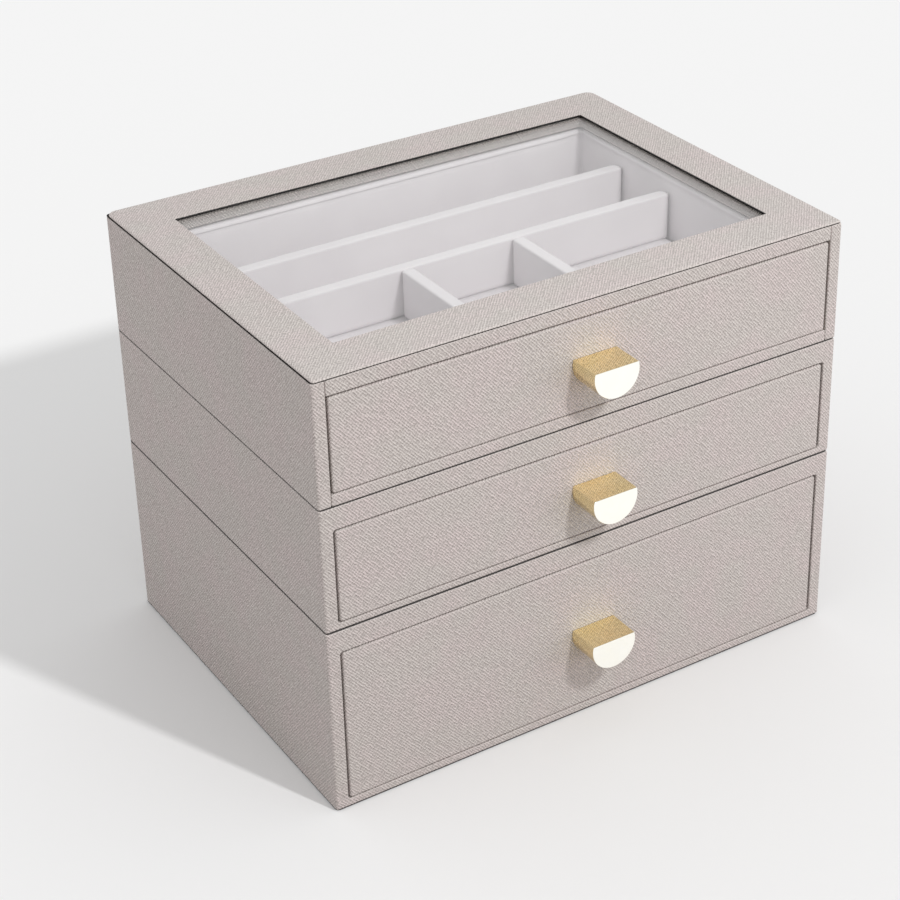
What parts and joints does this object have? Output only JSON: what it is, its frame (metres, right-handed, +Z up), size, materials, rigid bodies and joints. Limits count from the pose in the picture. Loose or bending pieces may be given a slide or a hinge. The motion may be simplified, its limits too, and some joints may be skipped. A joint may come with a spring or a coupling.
{
  "type": "jewelry case",
  "caption": "Stack of leatherette-covered drawer boxes with brass half-round pulls; the top box has a glazed window over a velvet tray with dividers.",
  "frame": {"origin": "centre of the rectangular footprint on the ground, the pulls left out", "axes": "+X to the right seen from the front, +Y towards the back, +Z up; the drawers open along -Y"},
  "size_m": [0.25, 0.1974, 0.196],
  "materials": {
    "leatherette": "cross-hatched embossed leatherette, greige, satin",
    "board": "fibreboard, raw",
    "velvet": "short-pile velvet over board and foam, pale lilac grey",
    "felt": "thin pressed felt, near black",
    "brass": "polished and satin brass",
    "steel": "zinc-plated screw",
    "glass": "clear float glass",
    "glazing_tape": "thin black adhesive tape"
  },
  "bodies": {
    "lower_box": {"lower_wrap": "leatherette", "lower_left_side": "board", "lower_right_side": "board", "lower_back_board": "board", "lower_top_board": "board", "lower_base_board": "board", "lower_base_felt": "felt"},
    "middle_box": {"middle_wrap": "leatherette", "middle_left_side": "board", "middle_right_side": "board", "middle_back_board": "board", "middle_top_board": "board", "middle_base_board": "board", "middle_base_felt": "felt"},
    "upper_box": {"upper_cap_frame": "leatherette", "upper_glass": "glass", "upper_glazing_tape": "glazing_tape", "upper_frame_board": "leatherette", "upper_left_side": "leatherette", "upper_right_side": "leatherette", "upper_back_board": "leatherette", "upper_base_board": "leatherette", "upper_base_felt": "felt"},
    "lower_drawer": {"lower_drawer_front": "leatherette", "lower_drawer_pull": "brass", "lower_drawer_pull_screw": "steel", "lower_drawer_bottom": "board", "lower_drawer_left_side": "board", "lower_drawer_right_side": "board", "lower_drawer_back": "board", "lower_drawer_liner": "velvet", "lower_drawer_floor_pad": "velvet", "lower_drawer_short_divider": "velvet"},
    "middle_drawer": {"middle_drawer_front": "leatherette", "middle_drawer_pull": "brass", "middle_drawer_pull_screw": "steel", "middle_drawer_bottom": "board", "middle_drawer_left_side": "board", "middle_drawer_right_side": "board", "middle_drawer_back": "board", "middle_drawer_liner": "velvet", "middle_drawer_floor_pad": "velvet", "middle_drawer_long_divider": "velvet", "middle_drawer_short_divider": "velvet"},
    "upper_drawer": {"upper_drawer_front": "leatherette", "upper_drawer_pull": "brass", "upper_drawer_pull_screw": "steel", "upper_drawer_bottom": "board", "upper_drawer_left_side": "board", "upper_drawer_right_side": "board", "upper_drawer_back": "board", "upper_drawer_liner": "velvet", "upper_drawer_floor_pad": "velvet", "upper_drawer_long_divider_1": "velvet", "upper_drawer_long_divider_2": "velvet", "upper_drawer_short_divider_1": "velvet", "upper_drawer_short_divider_2": "velvet"}
  },
  "joints": [
    {"name": "lower_drawer_slide", "type": "slide", "parent": "lower_box", "child": "lower_drawer", "axis": [0, -1, 0], "range_m": [0, 0.13]},
    {"name": "middle_box_lift", "type": "slide", "parent": "lower_box", "child": "middle_box", "axis": [0, 0, 1], "range_m": [0, 0.06]},
    {"name": "middle_drawer_slide", "type": "slide", "parent": "middle_box", "child": "middle_drawer", "axis": [0, -1, 0], "range_m": [0, 0.13]},
    {"name": "upper_box_lift", "type": "slide", "parent": "middle_box", "child": "upper_box", "axis": [0, 0, 1], "range_m": [0, 0.06]},
    {"name": "upper_drawer_slide", "type": "slide", "parent": "upper_box", "child": "upper_drawer", "axis": [0, -1, 0], "range_m": [0, 0.13]}
  ]
}
